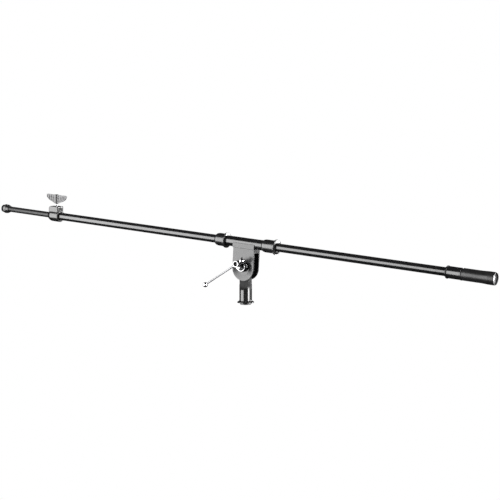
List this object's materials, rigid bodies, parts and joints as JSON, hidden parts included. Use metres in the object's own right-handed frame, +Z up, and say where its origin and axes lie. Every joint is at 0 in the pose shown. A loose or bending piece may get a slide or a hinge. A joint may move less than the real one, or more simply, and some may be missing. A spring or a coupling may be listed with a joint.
{
  "type": "boom microphone stand arm",
  "caption": "Telescopic microphone boom arm on a tilting clamp swivel, with a wing screw, a sliding T-bar handle and a counterweight.",
  "frame": {"origin": "centre of the stand socket's bottom opening", "axes": "+Z up along the stand's axis; +X towards the counterweight end; the tilt pivot's axis is along Y"},
  "size_m": [1.1757, 0.0535, 0.1979],
  "materials": {
    "black_paint": "gloss black paint",
    "satin_black_tube": "satin black tube",
    "black_cast": "semi-gloss black die-casting",
    "grey_paint": "satin dark grey paint",
    "black_plastic": "moulded black",
    "grey_plastic": "moulded light grey",
    "nylon": "natural nylon",
    "zinc_steel": "bright turned steel",
    "chrome": "polished chrome",
    "friction_fibre": "pressed friction fibre"
  },
  "bodies": {
    "stand": {"stand_socket": "black_cast", "thread_insert": "zinc_steel", "friction_disc_front": "friction_fibre", "friction_disc_rear": "friction_fibre"},
    "bracket": {"clamp_bracket": "grey_paint", "sleeve_tube": "grey_paint", "left_bushing": "black_plastic", "right_bushing": "black_plastic", "left_liner": "nylon", "right_liner": "nylon", "cheek_rivet": "black_paint", "rear_washer": "zinc_steel", "rear_nut": "zinc_steel"},
    "washer": {"front_washer": "chrome"},
    "clamp_screw": {"clamp_screw": "chrome"},
    "t_bar": {"t_bar_rod": "chrome", "t_bar_knob_lower": "chrome", "t_bar_knob_upper": "chrome"},
    "boom": {"outer_tube": "black_paint", "clamp_collar": "black_cast", "collar_bush": "nylon", "weight_collar": "black_paint", "weight_stud": "zinc_steel"},
    "brake_pad": {"brake_pad": "nylon"},
    "wing_screw": {"wing_shaft": "zinc_steel", "wing_head": "grey_plastic"},
    "inner": {"inner_tube": "satin_black_tube", "guide_plug": "nylon", "mic_stud": "black_cast"},
    "lock_ring": {"mic_lock_ring": "black_cast"},
    "counterweight": {"weight_core": "zinc_steel", "weight_grip": "black_plastic"}
  },
  "joints": [
    {"name": "boom_tilt", "type": "hinge", "parent": "stand", "child": "bracket", "pos_m": [0, 0, 0.0754], "axis": [0, 1, 0], "range_deg": [-85, 80]},
    {"name": "boom_slide", "type": "slide", "parent": "bracket", "child": "boom", "axis": [0.998, 0, -0.0628], "range_m": [-0.35, 0.41]},
    {"name": "telescope", "type": "slide", "parent": "boom", "child": "inner", "axis": [-0.998, 0, 0.0628], "range_m": [-0.115, 0.43]},
    {"name": "wing_lift", "type": "slide", "parent": "boom", "child": "brake_pad", "axis": [0.0628, 0, 0.998], "range_m": [0, 0.0024]},
    {"name": "wing_turn", "type": "hinge", "parent": "brake_pad", "child": "wing_screw", "pos_m": [-0.49472, 0, 0.15121], "axis": [0.0628, 0, 0.998], "range_deg": [0, 1080]},
    {"name": "washer_lift", "type": "slide", "parent": "bracket", "child": "washer", "axis": [0, -1, 0], "range_m": [0, 0.0026]},
    {"name": "clamp_turn", "type": "hinge", "parent": "washer", "child": "clamp_screw", "pos_m": [0, 0, 0.0754], "axis": [0, -1, 0], "range_deg": [0, 720]},
    {"name": "t_bar_slide", "type": "slide", "parent": "clamp_screw", "child": "t_bar", "axis": [0.8545, 0, 0.5195], "range_m": [0, 0.076]},
    {"name": "lock_ring_turn", "type": "hinge", "parent": "inner", "child": "lock_ring", "pos_m": [-0.64123, 0, 0.16043], "axis": [0.998, 0, -0.0628], "range_deg": [0, 720]},
    {"name": "counterweight_turn", "type": "hinge", "parent": "boom", "child": "counterweight", "pos_m": [0.49183, 0, 0.08915], "axis": [0.998, 0, -0.0628], "range_deg": [0, 720]}
  ],
  "couplings": [
    {"joint": "wing_turn", "follows": "wing_lift", "rad_per_m": 7854},
    {"joint": "washer_lift", "follows": "clamp_turn", "m_per_rad": 0.00019894}
  ]
}
